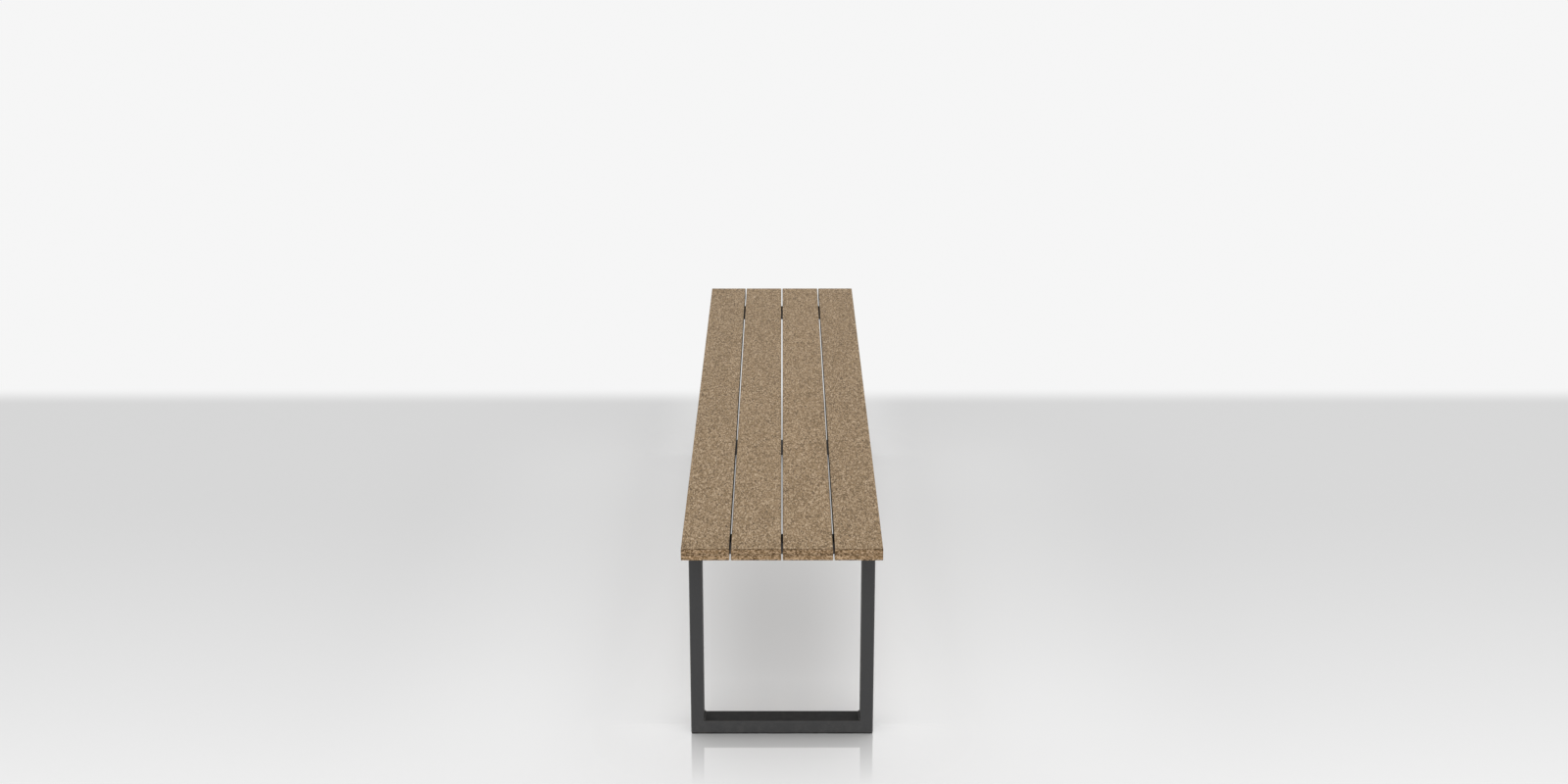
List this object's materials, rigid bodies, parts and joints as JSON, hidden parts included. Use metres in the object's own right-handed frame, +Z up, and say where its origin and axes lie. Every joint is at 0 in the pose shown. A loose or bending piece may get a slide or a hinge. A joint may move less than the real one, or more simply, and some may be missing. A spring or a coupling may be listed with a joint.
{
  "type": "backless bench",
  "caption": "Backless outdoor bench: long composite slats side by side on closed rectangular tube leg loops, with glide strips underneath.",
  "frame": {"origin": "centre of the footprint, on the plane that the bench stands on", "axes": "+Z up, +Y along the length of the bench towards its rear end, +X across the bench towards its right side as seen from the front end"},
  "size_m": [0.378, 1.829, 0.432],
  "materials": {
    "slat": "speckled tan and brown wood-plastic composite board, matt",
    "frame": "charcoal powder coat, fine texture, matt",
    "weld": "weld bead under charcoal powder coat",
    "glide": "black, matt",
    "fastener": "stainless steel"
  },
  "bodies": {
    "root": {"slat_1": "slat", "slat_2": "slat", "slat_3": "slat", "slat_4": "slat", "front_left_post": "frame", "front_right_post": "frame", "front_top_rail": "frame", "front_bottom_rail": "frame", "rear_left_post": "frame", "rear_right_post": "frame", "rear_top_rail": "frame", "rear_bottom_rail": "frame", "front_corner_welds": "weld", "rear_corner_welds": "weld", "front_glide": "glide", "rear_glide": "glide", "front_glide_screws": "fastener", "rear_glide_screws": "fastener", "slat_channel_1": "frame", "slat_channel_2": "frame", "slat_channel_3": "frame", "slat_channel_4": "frame", "front_channel_welds": "weld", "rear_channel_welds": "weld", "channel_screws": "fastener", "front_rail_screws": "fastener", "rear_rail_screws": "fastener", "front_rail_washers": "fastener", "rear_rail_washers": "fastener"}
  },
  "joints": []
}
